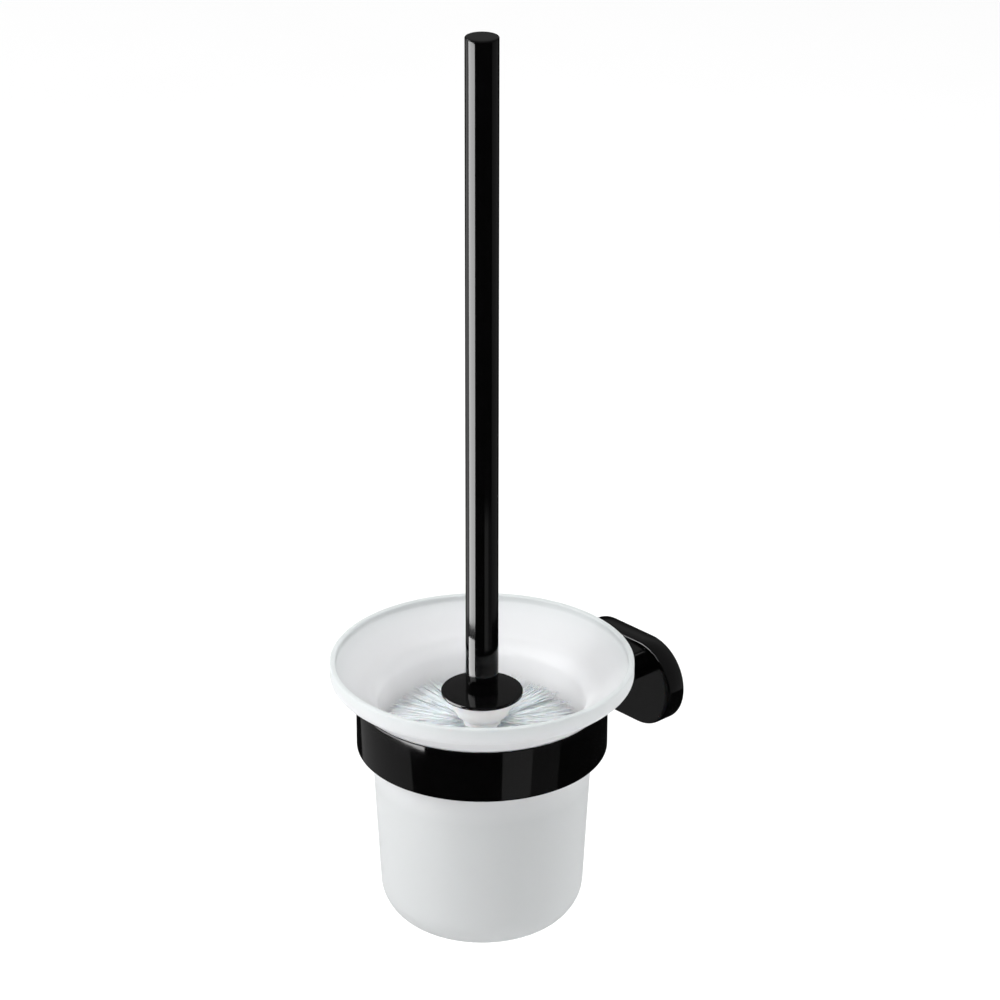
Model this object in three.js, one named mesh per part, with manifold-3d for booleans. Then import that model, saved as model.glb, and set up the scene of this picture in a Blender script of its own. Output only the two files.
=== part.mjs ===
// Wall-mounted toilet brush holder: a frosted glass cup hangs in a black ring on a
// short arm, and a brush with a long black handle stands in the cup.
//
// Millimetres, +Z up. The origin lies on the wall, at the centre of the wall plate.
// The wall is the plane y = 0, and the object stands out from it towards -Y.

import * as THREE from 'three';
import { mergeVertices } from 'three/addons/utils/BufferGeometryUtils.js';
import Module from 'manifold-3d';

const wasm = await Module();
wasm.setup();

// ---- driving dimensions ------------------------------------------------------

const GAP = 0.3; // air between neighbouring pieces

const AXIS_Y = -92.2; // cup, ring and brush stand on this vertical axis
const DISC_TOP = 20.7; // top face of the lid disc, the datum of cup and brush

const ROSETTE = { halfStraight: 11.6, radius: 19.8, depth: 9.2, face: 2.4, wall: 2.4, bevel: 0.6 };
const WALL_PLATE = { thick: 2.5, inset: 3.0, holeRadius: 2.4, holeX: 19 };
const LUG = { halfWidth: 6, low: -11, high: -5, depth: 4.2 };
const SET_SCREW = { radius: 1.7, length: 7.9, boss: 5.4, bossHalfWidth: 4.5 };

const ARM = { radius: 5.75, screwDepth: 12 };
const ARM_SCREW = { radius: 2.3, headRadius: 4.2, headThick: 2.4, length: 13 };
const WASHER = { inner: 2.65, outer: 4.6, thick: 0.6 };

const RING = { outer: 54.1, wall: 2.0, height: 23.4, top: 18.6, lip: 1.9, lipHeight: 1.4 };
const RING_SCREW = { radius: 1.9, headRadius: 3.0, length: 12 };
const LINER = { inner: 49.0 };

const CUP = {
  bottom: DISC_TOP - 107,
  footRadius: 44.2,
  neckRadius: 48.4,
  corner: 17,
  neckFillet: 6,
  coneRise: 0.783, // rise of the flare per unit of radius
  rimRadius: 65.2,
  rimTop: DISC_TOP + 14.7,
  rimFace: 8.5, // upright outer face of the rim
  rimEdge: 0.8,
  rimUnder: 3.0, // rounding below the rim's face
  rimWidth: 2.6,
  rimInside: 2.6, // depth of the upright step inside the rim
  innerFoot: 40.0,
  innerNeck: 44.6,
  innerCorner: 11,
  floor: 4.6,
};

const HANDLE = { radius: 7.0, wall: 1.0, top: DISC_TOP + 291.4, cap: 2.0, bevel: 0.5 };
const DISC = { radius: 17.6, thick: 1.6, edge: 0.35 };
const INSERT = { length: 16, thread: 2.6 };
const STUD = { radius: 2.3, up: 13, down: 23.5 };
const NUT = { flats: 10, thick: 4.2, hole: 2.65 };
const SPRING_WASHER = { inner: 2.65, outer: 4.8, thick: 1.2 };

const BOSS = { topRadius: 15.3, waist: 10.8, waistDepth: 11.5 };
const CORE = { radius: 8.0, bottom: DISC_TOP - 94 };
const CORE_SOCKET = { radius: 6.3, depth: 7.4 };
const BUSH = { outer: 4.4, inner: 2.6, length: 14 };

const ROWS = { count: 7, first: DISC_TOP - 16.4, pitch: 10.8, half: 4.6, topReach: 41.2, lastReach: 37.5 };
const TIP = { reach: 29, height: 7.4 };

const ROUND = 48; // sides of the large turned pieces
const FINE = 20; // sides of the small turned pieces
const SOFT = 28; // sides of the plain bristle solids

// ---- materials ---------------------------------------------------------------

const finish = (color, roughness, metalness, extra = {}) => (
  () => new THREE.MeshStandardMaterial({ color, roughness, metalness, ...extra })
);
const blackGloss = finish(0x08080a, 0.12, 0.3);
const zincSteel = finish(0xb4b6b8, 0.35, 0.9);
const brass = finish(0xb8924a, 0.35, 0.9);
const frostedGlass = finish(0xe6ecec, 0.55, 0.0, { transparent: true, opacity: 0.6 });
const whitePlastic = finish(0xf0f0ee, 0.45, 0.0);
const nylon = finish(0xf6f6f4, 0.6, 0.0);
const clearPolymer = finish(0xf0f0ee, 0.5, 0.0);

// ---- geometry helpers --------------------------------------------------------

// A closed three.js geometry as a manifold solid.
function solid(geometry) {
  const flat = geometry.clone();
  flat.deleteAttribute('normal');
  flat.deleteAttribute('uv');
  const merged = mergeVertices(flat, 1e-4);
  return new wasm.Manifold(new wasm.Mesh({
    numProp: 3,
    vertProperties: new Float32Array(merged.attributes.position.array),
    triVerts: new Uint32Array(merged.index.array),
  }));
}

// A manifold solid as a three.js geometry.
function toGeometry(manifold) {
  const mesh = manifold.getMesh();
  const geometry = new THREE.BufferGeometry();
  geometry.setAttribute('position', new THREE.BufferAttribute(mesh.vertProperties, 3));
  geometry.setIndex(new THREE.BufferAttribute(mesh.triVerts, 1));
  geometry.computeVertexNormals();
  return geometry;
}

// A piece turned about +Z from a profile of [radius, height] points.
function turned(profile, sides = ROUND) {
  const points = profile.map(([r, z]) => new THREE.Vector2(r, z));
  return new THREE.LatheGeometry(points, sides).rotateX(Math.PI / 2);
}

// Points of an arc in a profile, from one angle to another, in degrees.
function arc(centreR, centreZ, radius, from, to, steps) {
  return Array.from({ length: steps + 1 }, (_, i) => {
    const a = THREE.MathUtils.degToRad(from + ((to - from) * i) / steps);
    return [centreR + radius * Math.cos(a), centreZ + radius * Math.sin(a)];
  });
}

// A rod or disc along +Z between two heights.
function rod(radius, low, high, sides = FINE) {
  return turned([[0, low], [radius, low], [radius, high], [0, high]], sides);
}

// A tube along +Z between two heights.
function tube(inner, outer, low, high, sides = FINE) {
  return turned([[inner, low], [outer, low], [outer, high], [inner, high], [inner, low]], sides);
}

// Lays a piece that was turned about +Z along +Y.
const alongY = (geometry) => geometry.rotateX(-Math.PI / 2);

function block(x0, x1, y0, y1, z0, z1) {
  const box = new THREE.BoxGeometry(x1 - x0, y1 - y0, z1 - z0);
  return box.translate((x0 + x1) / 2, (y0 + y1) / 2, (z0 + z1) / 2);
}

// A level stadium in the wall plane: two half circles joined by straight lines.
function stadium(halfStraight, radius) {
  const shape = new THREE.Shape();
  shape.moveTo(-halfStraight, -radius);
  shape.lineTo(halfStraight, -radius);
  shape.absarc(halfStraight, 0, radius, -Math.PI / 2, Math.PI / 2, false);
  shape.lineTo(-halfStraight, radius);
  shape.absarc(-halfStraight, 0, radius, Math.PI / 2, Math.PI * 1.5, false);
  return shape;
}

// A stadium slab whose faces are at y = back and y = front.
function stadiumSlab(halfStraight, radius, back, front, bevel = 0) {
  const geometry = new THREE.ExtrudeGeometry(stadium(halfStraight, radius - bevel), {
    depth: back - front - 2 * bevel,
    curveSegments: 14,
    bevelEnabled: bevel > 0,
    bevelThickness: bevel,
    bevelSize: bevel,
    bevelSegments: 2,
  });
  return geometry.translate(0, 0, bevel).rotateX(Math.PI / 2).translate(0, back, 0);
}

// Height of the outside of the cup's flare at a radius, and its inverse.
const flareFoot = { radius: RING.outer - 0.8, z: RING.top + 0.1 };
const flareHeight = (radius) => flareFoot.z + (radius - flareFoot.radius) * CUP.coneRise;
const flareRadius = (z) => flareFoot.radius + (z - flareFoot.z) / CUP.coneRise;

// ---- the bracket: wall plate, rosette, arm and ring ---------------------------

function wallPlate() {
  const { thick, inset, holeRadius, holeX } = WALL_PLATE;
  const radius = ROSETTE.radius - inset;
  let body = solid(stadiumSlab(ROSETTE.halfStraight, radius, 0, -thick));
  const lugFront = -thick - LUG.depth;
  body = body.add(solid(block(-LUG.halfWidth, LUG.halfWidth, lugFront, -thick / 2, LUG.low, LUG.high)));
  for (const side of [-1, 1]) {
    const hole = alongY(rod(holeRadius, -thick - 1, 1)).translate(side * holeX, 0, 0);
    body = body.subtract(solid(hole));
  }
  return toGeometry(body);
}

function rosetteCover() {
  const { halfStraight, radius, depth, face, wall, bevel } = ROSETTE;
  let body = solid(stadiumSlab(halfStraight, radius, bevel, -depth, bevel));
  body = body.subtract(solid(block(-60, 60, 0, 5, -40, 40)));
  let hollow = solid(stadiumSlab(halfStraight, radius - wall, 1, -(depth - face)));
  const { boss, bossHalfWidth } = SET_SCREW;
  const bossTop = -radius + boss;
  const bossFront = -depth;
  hollow = hollow.subtract(
    solid(block(-bossHalfWidth, bossHalfWidth, bossFront, -WALL_PLATE.thick - GAP, -radius, bossTop)),
  );
  body = body.subtract(hollow);
  const screwHole = rod(SET_SCREW.radius + GAP, -radius - 1, bossTop + 1);
  body = body.subtract(solid(screwHole.translate(0, setScrewY, 0)));
  const armHole = alongY(rod(ARM_SCREW.radius + GAP, -depth - 1, 0));
  return toGeometry(body.subtract(solid(armHole)));
}

const setScrewY = -(WALL_PLATE.thick + LUG.depth / 2);

function setScrew() {
  const { radius, length } = SET_SCREW;
  const low = -ROSETTE.radius + 0.6;
  const top = low + length;
  const socketDepth = 2;
  const body = solid(turned([[0, low], [radius, low], [radius, top - 0.8], [0.7, top], [0, top]]));
  const socket = rod(1.0, low - 1, low + socketDepth, 6);
  return toGeometry(body.subtract(solid(socket))).translate(0, setScrewY, 0);
}

const armFront = AXIS_Y + RING.outer + GAP; // where the arm meets the ring
const armBack = -(ROSETTE.depth + GAP);

function arm() {
  let body = solid(alongY(rod(ARM.radius, armFront - 2, armBack, 32)));
  body = body.subtract(solid(rod(RING.outer + GAP, -20, 20, 72).translate(0, AXIS_Y, 0)));
  const rearHole = alongY(rod(ARM_SCREW.radius + GAP, armBack - ARM.screwDepth, armBack + 1));
  body = body.subtract(solid(rearHole));
  const frontHole = alongY(rod(RING_SCREW.radius + GAP, armFront - 3, armFront + ARM.screwDepth - 1));
  return toGeometry(body.subtract(solid(frontHole)));
}

const washerFront = -(ROSETTE.depth - ROSETTE.face) + GAP;

function armWasher() {
  return alongY(tube(WASHER.inner, WASHER.outer, washerFront, washerFront + WASHER.thick));
}

// A cap screw along the arm's axis: its head lies inside the rosette.
function armScrew() {
  const { radius, headRadius, headThick, length } = ARM_SCREW;
  const seat = washerFront + WASHER.thick + GAP;
  const head = seat + headThick;
  const profile = [
    [0, seat - length],
    [radius, seat - length],
    [radius, seat],
    [headRadius, seat],
    [headRadius, head - 0.5],
    [headRadius - 0.5, head],
    [0, head],
  ];
  const socket = alongY(rod(1.6, head - 1.4, head + 1, 6));
  return toGeometry(solid(alongY(turned(profile, FINE))).subtract(solid(socket)));
}

const ringBottom = RING.top - RING.height;
const ringInner = RING.outer - RING.wall;

// Profile of the countersunk screw and of the hole it sits in, along the arm's axis.
function countersunk(grow) {
  const face = AXIS_Y + ringInner + 0.1;
  const { radius, headRadius, length } = RING_SCREW;
  const headDepth = headRadius - radius;
  return [
    [0, face - (grow ? 3 : 0)],
    [headRadius + grow, face - (grow ? 3 : 0)],
    [headRadius + grow, face + 0.6],
    [radius + grow, face + 0.6 + headDepth],
    [radius + grow, face + length],
    [0, face + length],
  ];
}

function holderRing() {
  const { outer, top, lip, lipHeight } = RING;
  const bevel = 0.5;
  const seat = ringInner;
  const seatHeight = flareHeight(seat) - 0.35;
  const crown = flareRadius(top) + 0.3;
  const body = solid(turned([
    [outer - bevel, ringBottom],
    [outer, ringBottom + bevel],
    [outer, top - bevel],
    [outer - bevel / 2, top],
    [crown, top],
    [seat, seatHeight],
    [seat, ringBottom + lipHeight],
    [seat - lip, ringBottom + lipHeight],
    [seat - lip, ringBottom],
    [outer - bevel, ringBottom],
  ], 72)).translate(0, AXIS_Y, 0);
  return toGeometry(body.subtract(solid(alongY(turned(countersunk(GAP), FINE)))));
}

function ringScrew() {
  const face = AXIS_Y + ringInner + 0.1;
  const socket = alongY(rod(1.2, face - 1, face + 1.3, 6));
  return toGeometry(solid(alongY(turned(countersunk(0), FINE))).subtract(solid(socket)));
}

function ringLiner() {
  const outer = ringInner - GAP;
  const low = ringBottom + RING.lipHeight + GAP;
  return turned([
    [LINER.inner, low],
    [outer, low],
    [outer, flareHeight(outer) - 0.4],
    [LINER.inner, flareHeight(LINER.inner) - 1.2],
    [LINER.inner, low],
  ], ROUND).translate(0, AXIS_Y, 0);
}

// ---- the glass cup ------------------------------------------------------------

function glassCup() {
  const c = CUP;
  const slope = THREE.MathUtils.radToDeg(Math.atan(c.coneRise));
  // the neck's fillet touches the upright wall and the flare
  const neckMeet = flareHeight(c.neckRadius);
  const tangent = c.neckFillet * Math.tan(THREE.MathUtils.degToRad((90 - slope) / 2));
  const filletCentreZ = neckMeet - tangent;
  const filletCentreR = c.neckRadius + c.neckFillet;
  // the flare's underside rises to the rounding below the rim
  const underCentre = [c.rimRadius - c.rimUnder, c.rimTop - c.rimFace + c.rimUnder];
  // the inside runs parallel to the flare and turns into the cup at its own neck
  const stepFoot = [c.rimRadius - c.rimWidth, c.rimTop - c.rimInside];
  const innerFillet = 10;
  const innerMeet = stepFoot[1] - (stepFoot[0] - c.innerNeck) * c.coneRise;
  const innerTangent = innerFillet * Math.tan(THREE.MathUtils.degToRad((90 - slope) / 2));
  const insideFloor = c.bottom + c.floor;
  return turned([
    [0, c.bottom + 1.2],
    [c.footRadius - c.corner - 6, c.bottom + 1.0],
    [c.footRadius - c.corner - 2.5, c.bottom],
    ...arc(c.footRadius - c.corner, c.bottom + c.corner, c.corner, -90, 0, 7),
    ...arc(filletCentreR, filletCentreZ, c.neckFillet, 180, 90 + slope, 4),
    ...arc(underCentre[0], underCentre[1], c.rimUnder, slope - 90, 0, 3),
    ...arc(c.rimRadius - c.rimEdge, c.rimTop - c.rimEdge, c.rimEdge, 0, 90, 2),
    [c.rimRadius - c.rimWidth + c.rimEdge / 2, c.rimTop],
    [c.rimRadius - c.rimWidth, c.rimTop - c.rimEdge / 2],
    stepFoot,
    ...arc(c.innerNeck + innerFillet, innerMeet - innerTangent, innerFillet, 90 + slope, 180, 4),
    ...arc(c.innerFoot - c.innerCorner, insideFloor + c.innerCorner, c.innerCorner, 0, -90, 5),
    [0, insideFloor],
  ], ROUND).translate(0, AXIS_Y, 0);
}

// ---- the handle ----------------------------------------------------------------

// A drawn tube, closed and slightly bevelled at its top.
function handleTube() {
  const { radius, wall, top, cap, bevel } = HANDLE;
  const low = DISC_TOP + GAP;
  return turned([
    [0, top - cap],
    [radius - wall, top - cap],
    [radius - wall, low],
    [radius, low],
    [radius, top - bevel],
    [radius - bevel, top],
    [0, top],
  ], 40);
}

function tubeInsert() {
  const outer = HANDLE.radius - HANDLE.wall - GAP;
  const low = DISC_TOP + GAP;
  return tube(INSERT.thread, outer, low, low + INSERT.length);
}

function lidDisc() {
  const { radius, thick, edge } = DISC;
  const low = DISC_TOP - thick;
  const hole = STUD.radius + GAP;
  return turned([
    [hole, low],
    [radius - edge, low],
    [radius, low + edge],
    [radius, DISC_TOP - edge],
    [radius - edge, DISC_TOP],
    [hole, DISC_TOP],
    [hole, low],
  ], ROUND);
}

const discBottom = DISC_TOP - DISC.thick;
const springWasherTop = discBottom - GAP;
const nutTop = springWasherTop - SPRING_WASHER.thick - GAP;

function springWasher() {
  const { inner, outer, thick } = SPRING_WASHER;
  return tube(inner, outer, springWasherTop - thick, springWasherTop);
}

function lockNut() {
  const cornerRadius = NUT.flats / 2 / Math.cos(Math.PI / 6);
  const body = solid(rod(cornerRadius, nutTop - NUT.thick, nutTop, 6));
  const hole = rod(NUT.hole, nutTop - NUT.thick - 1, nutTop + 1);
  return toGeometry(body.subtract(solid(hole)));
}

function joiningStud() {
  const top = DISC_TOP + STUD.up;
  const low = DISC_TOP - STUD.down;
  const { radius } = STUD;
  return turned([
    [0, low],
    [radius - 0.6, low],
    [radius, low + 0.6],
    [radius, top - 0.6],
    [radius - 0.6, top],
    [0, top],
  ], FINE);
}

// ---- the brush head --------------------------------------------------------------

// White moulded boss and core with a socket for the nut and a bore for the stud's bush.
function brushCore() {
  const top = discBottom - GAP;
  const waist = DISC_TOP - BOSS.waistDepth;
  const socketFloor = top - CORE_SOCKET.depth;
  const boreFloor = socketFloor - BUSH.length - 2 * GAP;
  const endRound = 6;
  return turned([
    [0, CORE.bottom],
    ...arc(CORE.radius - endRound, CORE.bottom + endRound, endRound, -90, 0, 5),
    [CORE.radius, waist - 0.8],
    [BOSS.waist, waist],
    [BOSS.topRadius, top - 1.6],
    [BOSS.topRadius, top - 0.5],
    [BOSS.topRadius - 0.5, top],
    [CORE_SOCKET.radius, top],
    [CORE_SOCKET.radius, socketFloor],
    [BUSH.outer + GAP, socketFloor],
    [BUSH.outer + GAP, boreFloor],
    [0, boreFloor],
  ], 32);
}

function threadBush() {
  const socketFloor = discBottom - GAP - CORE_SOCKET.depth;
  return tube(BUSH.inner, BUSH.outer, socketFloor - GAP - BUSH.length, socketFloor - GAP);
}

// One row of bristles as a plain soft ring around the core.
function bristleRow(index) {
  const { first, pitch, half, count, topReach, lastReach } = ROWS;
  const z = first - index * pitch;
  const reach = THREE.MathUtils.lerp(topReach, lastReach, index / (count - 1));
  const root = CORE.radius + GAP;
  return turned([
    [root, z - half * 0.4],
    [reach - 1.5, z - half],
    [reach, z - half + 1.5],
    [reach, z + half - 1.5],
    [reach - 1.5, z + half],
    [root, z + half * 0.4],
    [root, z - half * 0.4],
  ], SOFT);
}

// The tuft that closes the bottom of the head.
function bristleTip() {
  const z = CORE.bottom - GAP;
  return turned([
    [0, z - TIP.height],
    [TIP.reach * 0.5, z - TIP.height + 1],
    [TIP.reach - 2, z - TIP.height + 3.2],
    [TIP.reach, z - TIP.height + 5.4],
    [TIP.reach - 3, z - 0.6],
    [CORE.radius, z],
    [0, z],
  ], SOFT);
}

// ---- assembly ----------------------------------------------------------------------

const group = new THREE.Group();

function add(parent, name, geometry, material) {
  const mesh = new THREE.Mesh(geometry, material());
  mesh.name = name;
  parent.add(mesh);
}

const bracket = new THREE.Group();
add(bracket, 'wall_plate', wallPlate(), zincSteel);
add(bracket, 'rosette_cover', rosetteCover(), blackGloss);
add(bracket, 'set_screw', setScrew(), zincSteel);
add(bracket, 'arm', arm(), blackGloss);
add(bracket, 'arm_screw', armScrew(), zincSteel);
add(bracket, 'arm_washer', armWasher(), zincSteel);
add(bracket, 'holder_ring', holderRing(), blackGloss);
add(bracket, 'ring_screw', ringScrew(), zincSteel);
add(bracket, 'ring_liner', ringLiner(), clearPolymer);
group.add(bracket);

add(group, 'glass_cup', glassCup(), frostedGlass);

const brush = new THREE.Group();
brush.position.y = AXIS_Y;
add(brush, 'handle_tube', handleTube(), blackGloss);
add(brush, 'tube_insert', tubeInsert(), brass);
add(brush, 'lid_disc', lidDisc(), blackGloss);
add(brush, 'spring_washer', springWasher(), zincSteel);
add(brush, 'lock_nut', lockNut(), zincSteel);
add(brush, 'joining_stud', joiningStud(), zincSteel);
add(brush, 'brush_core', brushCore(), whitePlastic);
add(brush, 'thread_bush', threadBush(), brass);
for (let row = 0; row < ROWS.count; row += 1) {
  add(brush, `bristle_row_${row + 1}`, bristleRow(row), nylon);
}
add(brush, 'bristle_tip', bristleTip(), nylon);
group.add(brush);

export default group;
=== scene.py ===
"""Wall-hung toilet brush holder: looks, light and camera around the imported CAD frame."""
import math
import random

import bmesh
import bpy
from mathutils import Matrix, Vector


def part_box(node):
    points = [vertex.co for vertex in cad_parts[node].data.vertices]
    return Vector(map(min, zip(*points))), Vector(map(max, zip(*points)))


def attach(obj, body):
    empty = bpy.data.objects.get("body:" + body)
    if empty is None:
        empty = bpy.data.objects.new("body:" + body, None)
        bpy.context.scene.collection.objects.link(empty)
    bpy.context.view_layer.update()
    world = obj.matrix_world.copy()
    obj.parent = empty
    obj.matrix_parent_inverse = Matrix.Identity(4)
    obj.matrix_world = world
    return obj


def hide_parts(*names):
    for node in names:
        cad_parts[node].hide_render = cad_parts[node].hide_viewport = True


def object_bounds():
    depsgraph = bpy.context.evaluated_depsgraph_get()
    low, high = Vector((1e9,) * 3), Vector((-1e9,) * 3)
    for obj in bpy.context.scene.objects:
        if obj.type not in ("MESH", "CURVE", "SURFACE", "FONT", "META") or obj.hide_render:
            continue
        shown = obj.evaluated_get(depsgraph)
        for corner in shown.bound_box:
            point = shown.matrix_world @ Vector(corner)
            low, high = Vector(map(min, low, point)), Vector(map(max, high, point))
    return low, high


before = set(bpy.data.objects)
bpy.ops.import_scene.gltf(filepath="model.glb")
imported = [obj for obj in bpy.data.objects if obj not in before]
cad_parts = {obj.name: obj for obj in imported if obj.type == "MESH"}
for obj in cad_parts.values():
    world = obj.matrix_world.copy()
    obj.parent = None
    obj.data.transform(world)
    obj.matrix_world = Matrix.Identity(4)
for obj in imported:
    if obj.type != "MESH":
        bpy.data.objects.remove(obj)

cad_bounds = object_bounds()

MM = 0.001

# ---- places and sizes, from the frame --------------------------------------------

cup_low, cup_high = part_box("glass_cup")
disc_low, disc_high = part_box("lid_disc")
ring_low, ring_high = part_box("holder_ring")
tube_low, tube_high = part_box("handle_tube")
cover_low, cover_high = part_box("rosette_cover")
arm_low, arm_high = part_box("arm")
core_low, core_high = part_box("brush_core")

AXIS_X = (cup_low[0] + cup_high[0]) / 2
AXIS_Y = (cup_low[1] + cup_high[1]) / 2
DATUM = disc_high[2]                      # top face of the lid disc

CUP_RIM = (cup_high[0] - cup_low[0]) / 2
CUP_BOTTOM = cup_low[2]
CUP_TOP = cup_high[2]
RING_OUTER = (ring_high[0] - ring_low[0]) / 2
RING_TOP = ring_high[2]
RING_BOTTOM = ring_low[2]

# the cup's section, as in the design
RIM_FACE = 8.5 * MM
RIM_EDGE = 0.8 * MM
RIM_UNDER = 3.0 * MM
RIM_WIDTH = 2.6 * MM
RIM_INSIDE = 2.6 * MM
FOOT_RADIUS = 44.2 * MM
NECK_RADIUS = 48.4 * MM
FOOT_CORNER = 17.0 * MM
NECK_FILLET = 6.0 * MM
FLARE_RISE = 0.783
FLARE_FOOT = (RING_OUTER - 0.8 * MM, RING_TOP + 0.1 * MM)
INNER_FOOT = 40.0 * MM
INNER_NECK = 44.6 * MM
INNER_CORNER = 11.0 * MM
CUP_FLOOR = 4.6 * MM

# ---- small helpers ----------------------------------------------------------------


def arc(centre_r, centre_z, radius, start, end, steps):
    """Points of an arc in a profile, angles in degrees."""
    points = []
    for i in range(steps + 1):
        a = math.radians(start + (end - start) * i / steps)
        points.append((centre_r + radius * math.cos(a), centre_z + radius * math.sin(a)))
    return points


def rounded(points, radius, steps):
    """An open profile with each inner corner rounded."""
    out = [points[0]]
    for before, corner, after in zip(points, points[1:], points[2:]):
        p = Vector(corner)
        a = (Vector(before) - p)
        b = (Vector(after) - p)
        cut = min(radius, a.length * 0.45, b.length * 0.45)
        a = p + a.normalized() * cut
        b = p + b.normalized() * cut
        for i in range(steps + 1):
            t = i / steps
            q = a * (1 - t) ** 2 + p * (2 * t * (1 - t)) + b * t ** 2
            out.append((q.x, q.y))
    out.append(points[-1])
    return out


def linked(name, bm, material):
    """Turns a bmesh into an object in the scene."""
    mesh = bpy.data.meshes.new(name)
    bm.to_mesh(mesh)
    bm.free()
    mesh.materials.append(material)
    piece = bpy.data.objects.new(name, mesh)
    bpy.context.scene.collection.objects.link(piece)
    return piece


def mesh_object(name, bm, material, sharp):
    """A smooth-shaded object whose edges sharper than an angle, in degrees, stay hard."""
    bmesh.ops.recalc_face_normals(bm, faces=bm.faces)
    limit = math.radians(sharp)
    for face in bm.faces:
        face.smooth = True
    for edge in bm.edges:
        if len(edge.link_faces) == 2 and edge.calc_face_angle(0.0) > limit:
            edge.smooth = False
    return linked(name, bm, material)


def turned(name, profile, material, segments, sharp, closed=False):
    """A piece turned about the cup's axis: a ring if the profile is closed, else a solid."""
    bm = bmesh.new()
    loops = []
    for r, h in profile:
        if r < 1e-7:
            loops.append([bm.verts.new((0, 0, h))])
            continue
        loops.append([
            bm.verts.new((
                r * math.cos(2 * math.pi * k / segments),
                r * math.sin(2 * math.pi * k / segments),
                h,
            ))
            for k in range(segments)
        ])
    pairs = list(zip(loops, loops[1:]))
    if closed:
        pairs.append((loops[-1], loops[0]))
    for low, high in pairs:
        for k in range(segments):
            n = (k + 1) % segments
            corners = [low[k % len(low)], low[n % len(low)], high[n % len(high)], high[k % len(high)]]
            unique = list(dict.fromkeys(corners))
            if len(unique) > 2:
                bm.faces.new(unique)
    bmesh.ops.translate(bm, verts=bm.verts, vec=Vector((AXIS_X, AXIS_Y, 0)))
    return mesh_object(name, bm, material, sharp)


# ---- materials ---------------------------------------------------------------------


class Nodes:
    """A material and a short way to add nodes to it."""

    def __init__(self, name):
        self.material = bpy.data.materials.new(name)
        self.material.use_nodes = True
        self.tree = self.material.node_tree
        self.shader = self.tree.nodes["Principled BSDF"]

    def add(self, kind):
        return self.tree.nodes.new(kind)

    def link(self, out, into):
        self.tree.links.new(out, into)

    def set(self, **values):
        for key, value in values.items():
            self.shader.inputs[key.replace("_", " ")].default_value = value

    def noise(self, scale, detail=3.0, roughness=0.5, stretch=(1, 1, 1)):
        place = self.add("ShaderNodeTexCoord")
        mapping = self.add("ShaderNodeMapping")
        mapping.inputs["Scale"].default_value = stretch
        self.link(place.outputs["Object"], mapping.inputs["Vector"])
        noise = self.add("ShaderNodeTexNoise")
        noise.inputs["Scale"].default_value = scale
        noise.inputs["Detail"].default_value = detail
        noise.inputs["Roughness"].default_value = roughness
        self.link(mapping.outputs["Vector"], noise.inputs["Vector"])
        return noise.outputs["Fac"]

    def ramp(self, source, stops, into):
        ramp = self.add("ShaderNodeValToRGB")
        elements = ramp.color_ramp.elements
        while len(elements) < len(stops):
            elements.new(0.5)
        for element, (place, colour) in zip(elements, stops):
            element.position = place
            element.color = colour
        self.link(source, ramp.inputs["Fac"])
        self.link(ramp.outputs["Color"], into)

    def spread(self, source, low, high, into):
        """Maps 0..1 onto low..high."""
        node = self.add("ShaderNodeMapRange")
        node.inputs["To Min"].default_value = low
        node.inputs["To Max"].default_value = high
        self.link(source, node.inputs["Value"])
        self.link(node.outputs["Result"], into)

    def bump(self, source, distance, strength):
        node = self.add("ShaderNodeBump")
        node.inputs["Distance"].default_value = distance
        node.inputs["Strength"].default_value = strength
        self.link(source, node.inputs["Height"])
        self.link(node.outputs["Normal"], self.shader.inputs["Normal"])


def grey(level):
    return (level, level, level, 1.0)


def black_gloss():
    m = Nodes("black_gloss")
    m.set(Specular_IOR_Level=0.5, IOR=1.5)
    cloud = m.noise(120.0, 3.0)
    m.ramp(cloud, [(0.3, grey(0.0008)), (0.7, (0.0013, 0.0012, 0.0014, 1))], m.shader.inputs["Base Color"])
    m.spread(m.noise(900.0, 4.0), 0.045, 0.085, m.shader.inputs["Roughness"])
    m.bump(m.noise(420.0, 2.0), 0.000004, 0.35)
    return m.material


def frosted_glass():
    m = Nodes("frosted_glass")
    m.set(IOR=1.47, Transmission_Weight=0.36, Specular_IOR_Level=0.2)
    place = m.add("ShaderNodeTexCoord")
    split = m.add("ShaderNodeSeparateXYZ")
    m.link(place.outputs["Object"], split.inputs["Vector"])
    height = m.add("ShaderNodeMapRange")
    height.inputs["From Min"].default_value = CUP_BOTTOM
    height.inputs["From Max"].default_value = CUP_TOP
    m.link(split.outputs["Z"], height.inputs["Value"])

    def level(z):
        return (z - CUP_BOTTOM) / (CUP_TOP - CUP_BOTTOM)

    # painted shade and light in the base colour: the glass is darker at the foot and on the dish above the
    # ring, and lighter at the ring's height, where the inside of the neck shows; the greener tint towards
    # the lip stands for the thicker glass there
    m.ramp(height.outputs["Result"], [
        (level(RING_BOTTOM - 16 * MM), (0.68, 0.695, 0.70, 1)),
        (level(RING_BOTTOM + 6 * MM), (0.89, 0.895, 0.905, 1)),
        (level(RING_TOP - 3 * MM), (0.86, 0.865, 0.875, 1)),
        (level(RING_TOP + 5 * MM), (0.745, 0.75, 0.76, 1)),
        (level(CUP_TOP - 6 * MM), (0.735, 0.745, 0.755, 1)),
        (level(CUP_TOP - 2.5 * MM), (0.70, 0.72, 0.725, 1)),
        (1.0, (0.665, 0.695, 0.695, 1)),
    ], m.shader.inputs["Base Color"])
    m.spread(m.noise(700.0, 4.0, 0.6), 0.62, 0.82, m.shader.inputs["Roughness"])
    m.bump(m.noise(2600.0, 3.0, 0.7), 0.00001, 0.5)
    return m.material


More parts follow.
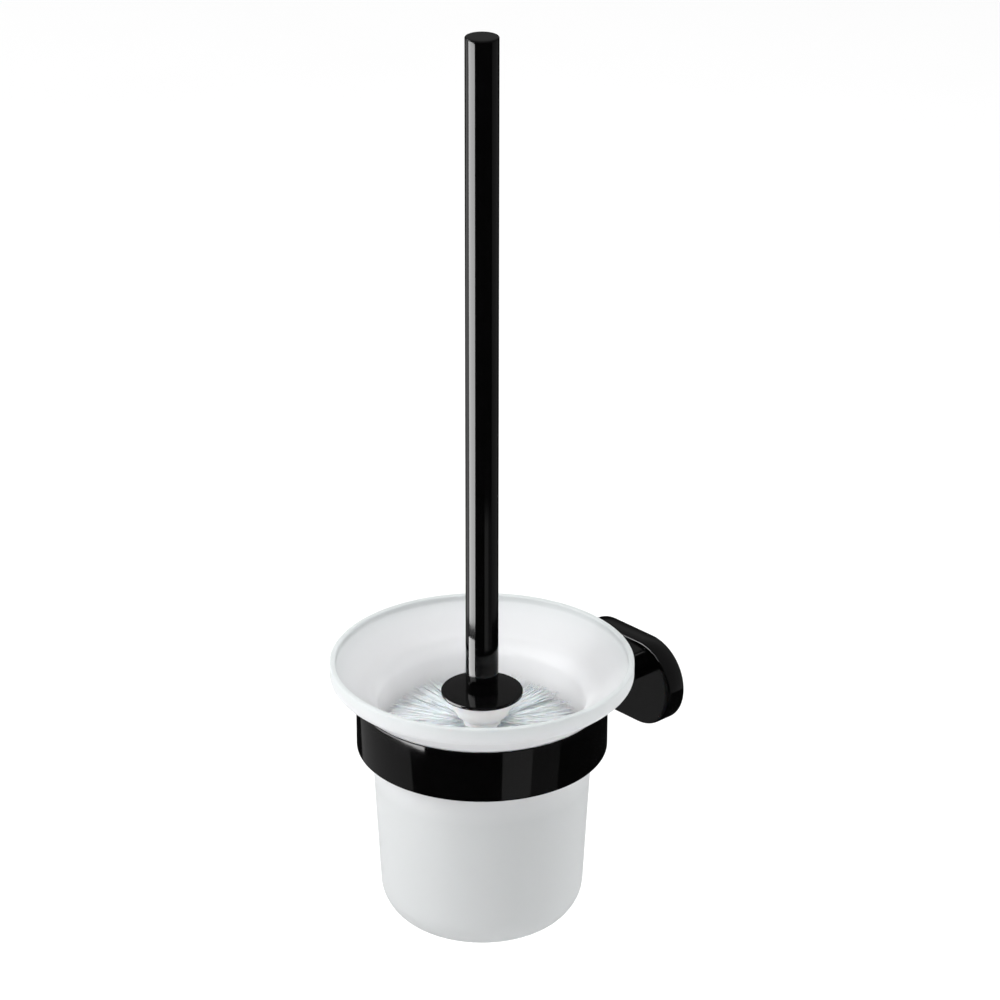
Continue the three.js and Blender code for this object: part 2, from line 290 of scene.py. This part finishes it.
def white_plastic():
    m = Nodes("white_plastic")
    m.set(IOR=1.46, Subsurface_Weight=0.15, Subsurface_Scale=0.003)
    colours = [(0.3, grey(0.80)), (0.7, (0.84, 0.84, 0.835, 1))]
    m.ramp(m.noise(60.0, 3.0), colours, m.shader.inputs["Base Color"])
    m.spread(m.noise(800.0, 4.0), 0.34, 0.48, m.shader.inputs["Roughness"])
    m.bump(m.noise(1800.0, 3.0), 0.00001, 0.4)
    return m.material


def nylon():
    m = Nodes("nylon_bristle")
    m.set(IOR=1.53, Transmission_Weight=0.15, Subsurface_Weight=0.3, Subsurface_Scale=0.003)
    colours = [(0.3, (0.92, 0.925, 0.935, 1)), (0.7, grey(0.96))]
    m.ramp(m.noise(90.0, 2.0), colours, m.shader.inputs["Base Color"])
    m.spread(m.noise(1500.0, 2.0), 0.28, 0.45, m.shader.inputs["Roughness"])
    return m.material


def clear_polymer():
    m = Nodes("clear_polymer")
    m.ramp(m.noise(150.0), [(0.3, grey(0.86)), (0.7, grey(0.90))], m.shader.inputs["Base Color"])
    m.spread(m.noise(1200.0), 0.5, 0.7, m.shader.inputs["Roughness"])
    m.bump(m.noise(2500.0), 0.00001, 0.5)
    return m.material


def zinc_steel():
    m = Nodes("zinc_steel")
    m.set(Metallic=1.0)
    colours = [(0.3, grey(0.48)), (0.7, (0.62, 0.62, 0.60, 1))]
    m.ramp(m.noise(200.0, 4.0), colours, m.shader.inputs["Base Color"])
    m.spread(m.noise(900.0, 3.0, 0.5, (1, 1, 12)), 0.22, 0.42, m.shader.inputs["Roughness"])
    m.bump(m.noise(1600.0, 3.0), 0.000008, 0.4)
    return m.material


def turned_brass():
    m = Nodes("brass")
    m.set(Metallic=1.0)
    colours = [(0.3, (0.52, 0.36, 0.14, 1)), (0.7, (0.68, 0.50, 0.24, 1))]
    m.ramp(m.noise(220.0), colours, m.shader.inputs["Base Color"])
    m.spread(m.noise(700.0, 3.0, 0.5, (1, 1, 10)), 0.2, 0.38, m.shader.inputs["Roughness"])
    m.bump(m.noise(300.0, 2.0, 0.5, (0.2, 0.2, 14)), 0.00001, 0.5)
    return m.material


def pale_floor():
    m = Nodes("pale_floor")
    m.ramp(m.noise(3.0, 2.0), [(0.3, grey(0.93)), (0.7, grey(0.94))], m.shader.inputs["Base Color"])
    m.set(Roughness=0.95, Specular_IOR_Level=0.0)
    return m.material


BLACK = black_gloss()
GLASS = frosted_glass()
WHITE = white_plastic()
NYLON = nylon()
CLEAR = clear_polymer()
ZINC = zinc_steel()
BRASS = turned_brass()


def finish(piece, body, slot, *nodes):
    """Rides a new piece on its body, in place of CAD nodes."""
    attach(piece, body)
    if nodes:
        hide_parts(*nodes)
    return piece


# ---- the bracket -------------------------------------------------------------------

COVER_STRAIGHT = 11.6 * MM                # half the straight run of the oval
COVER_RADIUS = (cover_high[2] - cover_low[2]) / 2
COVER_FRONT = cover_low[1]
COVER_WALL = 2.4 * MM
COVER_FACE = 2.4 * MM


def oval_loop(bm, radius, y, steps=32):
    """A level stadium outline at a depth y."""
    verts = []
    for side, start in ((1, -90), (-1, 90)):
        for i in range(steps + 1):
            a = math.radians(start + 180 * i / steps)
            x = side * COVER_STRAIGHT + radius * math.cos(a)
            verts.append(bm.verts.new((x, y, radius * math.sin(a))))
    return verts


def bridge(bm, first, second):
    """A band of faces between two closed loops."""
    for k in range(len(first)):
        n = (k + 1) % len(first)
        bm.faces.new((first[k], first[n], second[n], second[k]))


def rosette_cover():
    bm = bmesh.new()
    r = COVER_RADIUS
    edge = 0.75 * MM
    section = [(r - 0.3 * MM, 0.0), (r, -0.3 * MM)]
    for i in range(5):
        a = math.radians(90 * i / 4)
        section.append((r - edge + edge * math.cos(a), COVER_FRONT + edge - edge * math.sin(a)))
    section.append((r - 3 * MM, COVER_FRONT))
    outer = [oval_loop(bm, radius, y) for radius, y in section]
    for first, second in zip(outer, outer[1:]):
        bridge(bm, first, second)
    bm.faces.new(outer[-1])
    hollow = r - COVER_WALL
    ceiling = COVER_FRONT + COVER_FACE
    inner_section = [
        (hollow + 0.2 * MM, 0.0),
        (hollow, -0.3 * MM),
        (hollow, ceiling),
        (hollow - 1 * MM, ceiling),
    ]
    inner = [oval_loop(bm, radius, y) for radius, y in inner_section]
    for first, second in zip(inner, inner[1:]):
        bridge(bm, first, second)
    bm.faces.new(inner[-1])
    bridge(bm, outer[0], inner[0])
    return finish(mesh_object("rosette_shell", bm, BLACK, 60), "bracket", "black_gloss", "rosette_cover")


def arm_bar():
    """The round bar, shaped to the ring at its front end."""
    radius = (arm_high[0] - arm_low[0]) / 2
    back = COVER_FRONT - 0.02 * MM
    bm = bmesh.new()
    segments = 64
    loops = []
    blend = 0.9 * MM
    for flare, along in ((blend, 0.0), (0.35 * MM, 0.25 * MM), (0.1 * MM, 0.6 * MM), (0.0, 1.2 * MM)):
        loops.append((radius + flare, along, "front"))
    for flare, along in ((0.0, 1.6 * MM), (0.12 * MM, 0.9 * MM), (0.45 * MM, 0.4 * MM), (1.2 * MM, 0.0)):
        loops.append((radius + flare, along, "back"))
    rings = []
    for r, along, end in loops:
        ring = []
        for k in range(segments):
            a = 2 * math.pi * k / segments
            x = r * math.cos(a)
            z = r * math.sin(a)
            if end == "front":
                y = AXIS_Y + math.sqrt(RING_OUTER ** 2 - x ** 2) + along
            else:
                y = back - along
            ring.append(bm.verts.new((x, y, z)))
        rings.append(ring)
    for first, second in zip(rings, rings[1:]):
        bridge(bm, first, second)
    bm.faces.new(rings[0])
    bm.faces.new(rings[-1])
    return finish(mesh_object("arm_bar", bm, BLACK, 50), "bracket", "black_gloss", "arm")


def flare_height(radius):
    """How high the underside of the dish is at a distance from the axis."""
    return FLARE_FOOT[1] + (radius - FLARE_FOOT[0]) * FLARE_RISE


def ring_band():
    """The ring, with a ledge at its foot that carries the liner."""
    wall = 2.0 * MM
    ledge = 1.9 * MM
    ledge_top = RING_BOTTOM + 1.4 * MM
    inner = RING_OUTER - wall
    lip = inner - ledge
    crown = FLARE_FOOT[0] + 0.2 * MM
    profile = [
        (lip, RING_BOTTOM),
        (RING_OUTER, RING_BOTTOM),
        (RING_OUTER, RING_TOP),
        (crown, RING_TOP),
        (inner, flare_height(inner) - 0.35 * MM),
        (inner, ledge_top),
        (lip, ledge_top),
    ]
    points = []
    count = len(profile)
    softness = {1: 0.9 * MM, 2: 0.45 * MM}    # the outer edges, at the foot and at the top
    for i, point in enumerate(profile):
        before = profile[i - 1]
        after = profile[(i + 1) % count]
        radius = softness.get(i, 0.15 * MM)
        points.extend(rounded([before, point, after], radius, 5 if i in softness else 2)[1:-1])
    band = turned("ring_band", points, BLACK, 224, 60, closed=True)
    return finish(band, "bracket", "black_gloss", "holder_ring")


# ---- the glass cup ------------------------------------------------------------------


def glass_cup():
    slope = math.degrees(math.atan(FLARE_RISE))
    turn = math.tan(math.radians((90 - slope) / 2))
    neck_z = flare_height(NECK_RADIUS) - NECK_FILLET * turn
    under = (CUP_RIM - RIM_UNDER, CUP_TOP - RIM_FACE + RIM_UNDER)
    step_r = CUP_RIM - RIM_WIDTH
    step_z = CUP_TOP - RIM_INSIDE
    inner_fillet = 10 * MM
    inner_neck_z = step_z - (step_r - INNER_NECK) * FLARE_RISE - inner_fillet * turn
    floor = CUP_BOTTOM + CUP_FLOOR
    foot = FOOT_RADIUS - FOOT_CORNER
    profile = [(0, CUP_BOTTOM + 1.2 * MM)]
    profile += rounded([
        (foot * 0.5, CUP_BOTTOM + 1.15 * MM),
        (foot - 6 * MM, CUP_BOTTOM + 1.0 * MM),
        (foot - 2.5 * MM, CUP_BOTTOM),
        (foot, CUP_BOTTOM),
    ], 2 * MM, 4)[:-1]
    profile += arc(foot, CUP_BOTTOM + FOOT_CORNER, FOOT_CORNER, -90, 0, 20)
    profile += arc(NECK_RADIUS + NECK_FILLET, neck_z, NECK_FILLET, 180, 90 + slope, 10)
    profile += arc(under[0], under[1], RIM_UNDER, slope - 90, 0, 10)
    profile += arc(CUP_RIM - RIM_EDGE, CUP_TOP - RIM_EDGE, RIM_EDGE, 0, 90, 6)
    profile += arc(step_r + RIM_EDGE, CUP_TOP - RIM_EDGE, RIM_EDGE, 90, 180, 6)
    profile += rounded([
        (step_r, CUP_TOP - RIM_EDGE - 0.2 * MM),
        (step_r, step_z),
        (step_r - 4 * MM, step_z - 4 * MM * FLARE_RISE),
    ], 1.6 * MM, 4)[:-1]
    profile += arc(INNER_NECK + inner_fillet, inner_neck_z, inner_fillet, 90 + slope, 180, 12)
    profile += arc(INNER_FOOT - INNER_CORNER, floor + INNER_CORNER, INNER_CORNER, 0, -90, 14)
    profile += [(INNER_CORNER, floor), (0, floor)]
    cup = turned("frosted_cup", profile, GLASS, 224, 80)
    cup.visible_glossy = False
    return finish(cup, "cup", "frosted_glass", "glass_cup")


# ---- the handle ----------------------------------------------------------------------


def handle_rod():
    radius = (tube_high[0] - tube_low[0]) / 2
    top = tube_high[2]
    wall = 1.0 * MM
    cap = 2 * MM
    edge = 0.6 * MM
    profile = [(0, top - cap), (radius - wall, top - cap)]
    profile += [(radius - wall, DATUM + 0.05 * MM), (radius - 0.2 * MM, DATUM + 0.05 * MM)]
    profile += [(radius, DATUM + 0.25 * MM)]
    profile += [(radius, DATUM + (top - DATUM) * i / 24) for i in range(1, 24)]
    profile += arc(radius - edge, top - edge, edge, 0, 90, 5)
    profile += [(radius * 0.5, top), (0, top)]
    rod = turned("handle_rod", profile, BLACK, 96, 60)
    return finish(rod, "handle", "black_gloss", "handle_tube")


def lid():
    radius = (disc_high[0] - disc_low[0]) / 2
    low = disc_low[2]
    hole = 2.6 * MM
    edge = 0.4 * MM
    profile = [(hole, low), (radius - edge, low)]
    profile += arc(radius - edge, low + edge, edge, -90, 0, 4)[1:]
    profile += arc(radius - edge, DATUM - edge, edge, 0, 90, 4)
    profile += [(radius * 0.6, DATUM), (hole, DATUM)]
    disc = turned("lid_plate", profile, BLACK, 128, 60, closed=True)
    return finish(disc, "handle", "black_gloss", "lid_disc")


# ---- the brush head --------------------------------------------------------------------

BOSS_TOP = core_high[2]
BOSS_RADIUS = (core_high[0] - core_low[0]) / 2
CORE_RADIUS = 8.0 * MM
BOSS_WAIST = 10.8 * MM
WAIST_Z = DATUM - 11.5 * MM
FILAMENT_RADIUS = 0.17 * MM
TUFTS = 16                                # in a row
TOP_ROW_BRISTLES = 72                     # in a tuft of the row that shows
ROW_BRISTLES = 30                         # in a tuft of the rows below it
TIP_BRISTLES = 520


def core():
    top = BOSS_TOP
    bottom = core_low[2]
    end = 6 * MM
    socket = 6.3 * MM
    socket_depth = 7.4 * MM
    socket_floor = top - socket_depth
    bore = 4.7 * MM
    bore_depth = 14.6 * MM
    bore_floor = socket_floor - bore_depth
    waist = [
        (CORE_RADIUS, WAIST_Z - 1.5 * MM),
        (BOSS_WAIST, WAIST_Z),
        (BOSS_RADIUS - 0.3 * MM, top - 1.6 * MM),
        (BOSS_RADIUS, top),
        (socket, top),
        (socket, socket_floor),
        (bore, socket_floor),
        (bore, bore_floor),
        (0, bore_floor),
    ]
    profile = [(0, bottom)] + arc(CORE_RADIUS - end, bottom + end, end, -90, 0, 8)
    profile += [(CORE_RADIUS, bottom + end + (WAIST_Z - bottom - end) * i / 10) for i in range(1, 9)]
    profile += rounded(waist, 1.2 * MM, 3)
    body = turned("core_moulding", profile, WHITE, 96, 45)
    return finish(body, "brush_head", "white_plastic", "brush_core")


def filament(bm, start, end, bend, sides=4, steps=4):
    """One bristle: a thin tapering rod with a slight bend."""
    start = Vector(start)
    end = Vector(end)
    run = end - start
    along = run.normalized()
    u = along.orthogonal().normalized()
    v = along.cross(u)
    rings = []
    for i in range(steps + 1):
        t = i / steps
        centre = start + run * t + bend * (t * t)
        r = FILAMENT_RADIUS * (1.0 - 0.35 * t * t)
        rings.append([
            bm.verts.new(
                centre
                + u * (r * math.cos(2 * math.pi * k / sides))
                + v * (r * math.sin(2 * math.pi * k / sides))
            )
            for k in range(sides)
        ])
    for first, second in zip(rings, rings[1:]):
        for k in range(sides):
            n = (k + 1) % sides
            bm.faces.new((first[k], first[n], second[n], second[k]))
    bm.faces.new(list(reversed(rings[0])))
    bm.faces.new(rings[-1])


def bristle_row(index, node):
    """A row of tufts around the core, each a bundle of nylon bristles that fans out."""
    rng = random.Random(100 + index)
    low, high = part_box(node)
    middle = (low[2] + high[2]) / 2
    reach = (high[0] - low[0]) / 2
    half = (high[2] - low[2]) / 2
    per_tuft = TOP_ROW_BRISTLES if index == 0 else ROW_BRISTLES
    bm = bmesh.new()
    for t in range(TUFTS):
        angle = 2 * math.pi * (t + 0.5 * (index % 2)) / TUFTS
        for _ in range(per_tuft):
            sway = rng.gauss(0, 0.085)
            rise = rng.gauss(0, 0.45)
            rise = max(-1.0, min(1.0, rise))
            out = reach * (1 - 0.09 * rng.random() ** 2) - 0.3 * MM
            root = CORE_RADIUS - 1.0 * MM
            a0 = angle + rng.uniform(-0.14, 0.14)
            a1 = angle + sway * 1.9
            start = (
                AXIS_X + root * math.cos(a0),
                AXIS_Y + root * math.sin(a0),
                middle + rng.uniform(-1.1, 1.1) * MM,
            )
            end = (
                AXIS_X + out * math.cos(a1),
                AXIS_Y + out * math.sin(a1),
                middle + rise * half * 0.95,
            )
            bend = Vector((0, 0, rng.uniform(-0.4, 0.2) * MM))
            filament(bm, start, end, bend)
    piece = mesh_object(node + "_tufts", bm, NYLON, 180)
    return finish(piece, "brush_head", "nylon_bristle", node)


def bristle_tip():
    """The end of the brush: bristles that spread down and outward from the core."""
    rng = random.Random(77)
    low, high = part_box("bristle_tip")
    reach = (high[0] - low[0]) / 2
    bm = bmesh.new()
    root_z = core_low[2] + 4 * MM
    for i in range(TIP_BRISTLES):
        t = (i + 0.5) / TIP_BRISTLES
        angle = i * math.pi * (3 - math.sqrt(5))
        radius = reach * math.sqrt(t) * 0.99
        drop = low[2] + (high[2] - low[2]) * (0.03 + 0.62 * t ** 2)
        root = CORE_RADIUS * 0.8 * math.sqrt(t)
        start = (AXIS_X + root * math.cos(angle), AXIS_Y + root * math.sin(angle), root_z)
        end = (
            AXIS_X + radius * math.cos(angle),
            AXIS_Y + radius * math.sin(angle),
            drop + rng.uniform(0, 0.4) * MM,
        )
        filament(bm, start, end, Vector((0, 0, 0)))
    piece = mesh_object("tip_tuft", bm, NYLON, 180)
    return finish(piece, "brush_head", "nylon_bristle", "bristle_tip")


# ---- build ---------------------------------------------------------------------------

rosette_cover()
arm_bar()
ring_band()
glass_cup()
handle_rod()
lid()
core()
rows = sorted(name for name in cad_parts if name.startswith("bristle_row_"))
for number, node_name in enumerate(rows):
    bristle_row(number, node_name)
bristle_tip()

CARRIED = {
    "wall_plate": ZINC,
    "set_screw": ZINC,
    "arm_screw": ZINC,
    "arm_washer": ZINC,
    "ring_screw": ZINC,
    "ring_liner": CLEAR,
    "tube_insert": BRASS,
    "spring_washer": ZINC,
    "lock_nut": ZINC,
    "joining_stud": ZINC,
    "thread_bush": BRASS,
}
for node_name, material in CARRIED.items():
    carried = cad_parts[node_name]
    if not carried.material_slots:
        carried.data.materials.append(material)
    for material_slot in carried.material_slots:
        material_slot.link = "OBJECT"
        material_slot.material = material

# ---- camera -----------------------------------------------------------------------------

TURN = math.radians(47.5)                 # the wall's normal, to the right of the view
PITCH = math.radians(24.39)
DISTANCE = 1.4285
HEIGHT = DATUM + 0.7369
SENSOR_WIDTH = 36.0
LENS = 134.6
SHIFT_X = 0.018
FAR_LIMIT = 200.0

forward = Vector((-math.sin(TURN), math.cos(TURN), 0))
right = Vector((math.cos(TURN), math.sin(TURN), 0))
axis_point = Vector((AXIS_X, AXIS_Y, 0))

camera_data = bpy.data.cameras.new("photo_camera")
camera_data.sensor_width = SENSOR_WIDTH
camera_data.lens = LENS
camera_data.shift_x = SHIFT_X
camera_data.clip_end = FAR_LIMIT
camera = bpy.data.objects.new("photo_camera", camera_data)
bpy.context.scene.collection.objects.link(camera)
camera.location = axis_point - forward * DISTANCE + Vector((0, 0, HEIGHT))
aim = forward * math.cos(PITCH) - Vector((0, 0, math.sin(PITCH)))
camera.rotation_euler = aim.to_track_quat("-Z", "Y").to_euler()
bpy.context.scene.camera = camera

# ---- floor, world and light ---------------------------------------------------------------

FLOOR_HALF = 40.0
FLOOR_DROP = 0.42                         # from the lowest point of the cup
CARD_STEP = 12                            # degrees of arc in a flat panel, about


def card(name, centre, normal, width, height, strength):
    """A flat panel that lights the glossy pieces by reflection only."""
    normal = Vector(normal).normalized()
    across = Vector((0, 0, 1)).cross(normal).normalized()
    up = normal.cross(across)
    bm = bmesh.new()
    centre = Vector(centre)
    corners = [(-0.5, -0.5), (0.5, -0.5), (0.5, 0.5), (-0.5, 0.5)]
    bm.faces.new([bm.verts.new(centre + across * (u * width) + up * (v * height)) for u, v in corners])
    material = bpy.data.materials.new(name)
    material.use_nodes = True
    nodes = material.node_tree.nodes
    nodes.clear()
    links = material.node_tree.links
    glow = nodes.new("ShaderNodeEmission")
    glow.inputs["Strength"].default_value = strength
    clear = nodes.new("ShaderNodeBsdfTransparent")
    path = nodes.new("ShaderNodeLightPath")
    mix = nodes.new("ShaderNodeMixShader")
    out = nodes.new("ShaderNodeOutputMaterial")
    face = nodes.new("ShaderNodeNewGeometry")
    unseen = nodes.new("ShaderNodeMath")        # clear from behind, and for rays sent on through glass
    unseen.operation = "MAXIMUM"
    links.new(path.outputs["Is Transmission Ray"], unseen.inputs[0])
    links.new(face.outputs["Backfacing"], unseen.inputs[1])
    links.new(unseen.outputs[0], mix.inputs["Fac"])
    links.new(glow.outputs[0], mix.inputs[1])
    links.new(clear.outputs[0], mix.inputs[2])
    links.new(mix.outputs[0], out.inputs["Surface"])
    panel = linked(name, bm, material)
    panel.visible_camera = False
    panel.visible_diffuse = False
    panel.visible_transmission = False
    panel.visible_shadow = False


def around(angle):
    """A level direction, turned from the camera's side; positive is to the camera's right."""
    a = math.radians(angle)
    return -forward * math.cos(a) + right * math.sin(a)


def arc_card(name, start, end, distance, low, high, strength):
    """A row of panels on an arc around the object, facing it."""
    steps = max(1, round(abs(end - start) / CARD_STEP))
    for i in range(steps):
        a0 = start + (end - start) * i / steps
        a1 = start + (end - start) * (i + 1) / steps
        mid = around((a0 + a1) / 2)
        width = 2 * distance * math.tan(math.radians(abs(a1 - a0) / 2))
        centre = axis_point + mid * distance + Vector((0, 0, (low + high) / 2))
        card(f"{name}_{i + 1}", centre, -mid, width, high - low, strength)


def stage_floor():
    bm = bmesh.new()
    z = cad_bounds[0][2] - FLOOR_DROP
    corners = ((-1, -1), (1, -1), (1, 1), (-1, 1))
    bm.faces.new([bm.verts.new((x * FLOOR_HALF, y * FLOOR_HALF, z)) for x, y in corners])
    floor = linked("floor", bm, pale_floor())
    floor.visible_glossy = False


def stage_world():
    """Bright and even for matt surfaces; dim for gloss, which is lit by the panels."""
    world = bpy.data.worlds.new("studio")
    bpy.context.scene.world = world
    world.use_nodes = True
    nodes = world.node_tree.nodes
    links = world.node_tree.links
    nodes.clear()
    bright = nodes.new("ShaderNodeBackground")
    bright.inputs["Color"].default_value = (1.0, 1.0, 1.0, 1)
    bright.inputs["Strength"].default_value = 1.0
    dim = nodes.new("ShaderNodeBackground")
    dim.inputs["Color"].default_value = (1, 1, 1, 1)
    place = nodes.new("ShaderNodeTexCoord")
    split = nodes.new("ShaderNodeSeparateXYZ")
    ramp = nodes.new("ShaderNodeMapRange")
    ramp.inputs["From Min"].default_value = -0.05
    ramp.inputs["From Max"].default_value = 0.3
    ramp.inputs["To Min"].default_value = 0.008
    ramp.inputs["To Max"].default_value = 0.135
    links.new(place.outputs["Generated"], split.inputs[0])
    links.new(split.outputs["Z"], ramp.inputs["Value"])
    links.new(ramp.outputs["Result"], dim.inputs["Strength"])
    path = nodes.new("ShaderNodeLightPath")
    mirrored = nodes.new("ShaderNodeMath")      # a mirrored ray, not one sent on through frosted glass
    mirrored.operation = "SUBTRACT"
    mirrored.use_clamp = True
    links.new(path.outputs["Is Glossy Ray"], mirrored.inputs[0])
    links.new(path.outputs["Is Transmission Ray"], mirrored.inputs[1])
    mix = nodes.new("ShaderNodeMixShader")
    out = nodes.new("ShaderNodeOutputWorld")
    links.new(mirrored.outputs[0], mix.inputs["Fac"])
    links.new(bright.outputs[0], mix.inputs[1])
    links.new(dim.outputs[0], mix.inputs[2])
    links.new(mix.outputs[0], out.inputs["Surface"])


def softbox(name, angle, elevation, distance, size, watts):
    """An area light aimed at the cup, hidden from the camera and from gloss."""
    data = bpy.data.lights.new(name, "AREA")
    data.energy = watts
    data.shape = "DISK"
    data.size = size
    lamp = bpy.data.objects.new(name, data)
    bpy.context.scene.collection.objects.link(lamp)
    e = math.radians(elevation)
    direction = around(angle) * math.cos(e) + Vector((0, 0, math.sin(e)))
    lamp.location = axis_point + direction * distance
    lamp.rotation_euler = (-direction).to_track_quat("-Z", "Y").to_euler()
    lamp.visible_camera = False
    lamp.visible_glossy = False


stage_floor()
stage_world()
softbox("key_left", -75, 40, 1.6, 0.9, 13)
softbox("top", 0, 85, 1.8, 1.2, 6)
softbox("rim_right", 115, 5, 1.6, 0.8, 8)
softbox("cup_fill", 0, 90, DATUM + 5 * MM, 0.066, 0.0155)

# panels that the rod reflects; their lower edge keeps them mostly off the ring in the photo's view
arc_card("rod_panel", -98, -48, 0.30, -0.092, 0.26, 8.6)
arc_card("rod_edge", -135, -98, 0.30, -0.09, 0.26, 0.7)
arc_card("rod_right", 70, 130, 0.30, -0.09, 0.26, 0.14)
arc_card("rod_foot", -98, -48, 0.043, 0.0017, 0.029, 8.6)
# a high panel that the rosette's edge catches
arc_card("edge_light", -125, -85, 1.2, 0.56, 1.1, 4.0)
# panels that the ring reflects
arc_card("ring_left", -143, -66, 1.0, -0.9, -0.35, 0.24)
arc_card("ring_right", 18, 45, 1.0, -0.9, -0.35, 0.30)
arc_card("ring_far_right", 45, 73, 1.0, -0.9, -0.35, 0.09)

bpy.context.scene.view_settings.view_transform = "Standard"
bpy.context.scene.view_settings.look = "None"
bpy.context.scene.render.film_transparent = False
